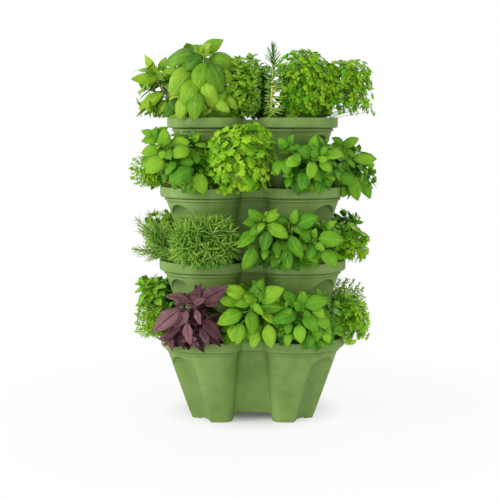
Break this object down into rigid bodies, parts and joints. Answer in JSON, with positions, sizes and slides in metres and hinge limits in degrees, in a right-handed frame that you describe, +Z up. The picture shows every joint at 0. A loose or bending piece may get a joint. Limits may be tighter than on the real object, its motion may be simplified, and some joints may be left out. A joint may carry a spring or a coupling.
{
  "type": "vertical planter tower",
  "caption": "Freestanding tower of stacked four-lobed moulded pots, filled with potting mix and planted with herbs; each upper tier lifts off.",
  "frame": {"origin": "on the ground, on the upright axis of the stack", "axes": "+Z up along the axis of the stack; -Y the front, where a valley between two lobes faces; +X to the right seen from the front"},
  "size_m": [0.4126, 0.4134, 0.6284],
  "materials": {
    "pot_plastic": "matte",
    "grid_plastic": "matte",
    "potting_mix": "matte",
    "purple_leaf": "satin",
    "bright_leaf": "satin",
    "green_leaf": "satin",
    "deep_leaf": "satin"
  },
  "bodies": {
    "tier_1": {"drain_grid_1": "grid_plastic", "pot_1": "pot_plastic", "potting_mix_1": "potting_mix", "tier_1_green_basil_back_centre": "bright_leaf", "tier_1_green_basil_front_centre": "bright_leaf", "tier_1_mint_back_right": "green_leaf", "tier_1_mint_front_right": "green_leaf", "tier_1_mint_left": "green_leaf", "tier_1_mint_left_back": "green_leaf", "tier_1_parsley_back_left": "deep_leaf", "tier_1_parsley_right": "deep_leaf", "tier_1_purple_basil_front_left": "purple_leaf", "tier_1_thyme_left": "deep_leaf", "tier_1_thyme_right_back": "deep_leaf"},
    "tier_2": {"drain_grid_2": "grid_plastic", "pot_2": "pot_plastic", "potting_mix_2": "potting_mix", "tier_2_green_basil_front_centre": "bright_leaf", "tier_2_green_basil_left_back": "bright_leaf", "tier_2_mint_back_left": "green_leaf", "tier_2_mint_front_right": "green_leaf", "tier_2_mint_right_back": "green_leaf", "tier_2_parsley_back_right": "deep_leaf", "tier_2_parsley_right": "deep_leaf", "tier_2_rosemary_left": "deep_leaf", "tier_2_tarragon_back_centre": "green_leaf", "tier_2_tarragon_front_left": "green_leaf"},
    "tier_3": {"drain_grid_3": "grid_plastic", "pot_3": "pot_plastic", "potting_mix_3": "potting_mix", "tier_3_celery_leaf_front_centre": "bright_leaf", "tier_3_lemon_balm_back_centre": "green_leaf", "tier_3_lemon_balm_front_left": "green_leaf", "tier_3_mint_front_right": "green_leaf", "tier_3_mint_right_back": "green_leaf", "tier_3_parsley_back_left": "deep_leaf", "tier_3_sage_left_back": "green_leaf", "tier_3_sage_right": "green_leaf", "tier_3_thyme_back_right": "deep_leaf", "tier_3_thyme_left": "deep_leaf"},
    "tier_4": {"drain_grid_4": "grid_plastic", "pot_4": "pot_plastic", "potting_mix_4": "potting_mix", "tier_4_bay_left": "green_leaf", "tier_4_green_basil_back_left": "bright_leaf", "tier_4_large_basil_front_left": "bright_leaf", "tier_4_mint_back_right": "green_leaf", "tier_4_oregano_back_centre": "green_leaf", "tier_4_oregano_front_centre": "green_leaf", "tier_4_parsley_front_right": "deep_leaf", "tier_4_parsley_right": "deep_leaf", "tier_4_rosemary_sprig_front": "deep_leaf"}
  },
  "joints": [
    {"name": "tier_2_lift", "type": "slide", "parent": "tier_1", "child": "tier_2", "axis": [0, 0, 1], "range_m": [0, 0.15]},
    {"name": "tier_3_lift", "type": "slide", "parent": "tier_2", "child": "tier_3", "axis": [0, 0, 1], "range_m": [0, 0.15]},
    {"name": "tier_4_lift", "type": "slide", "parent": "tier_3", "child": "tier_4", "axis": [0, 0, 1], "range_m": [0, 0.15]}
  ]
}
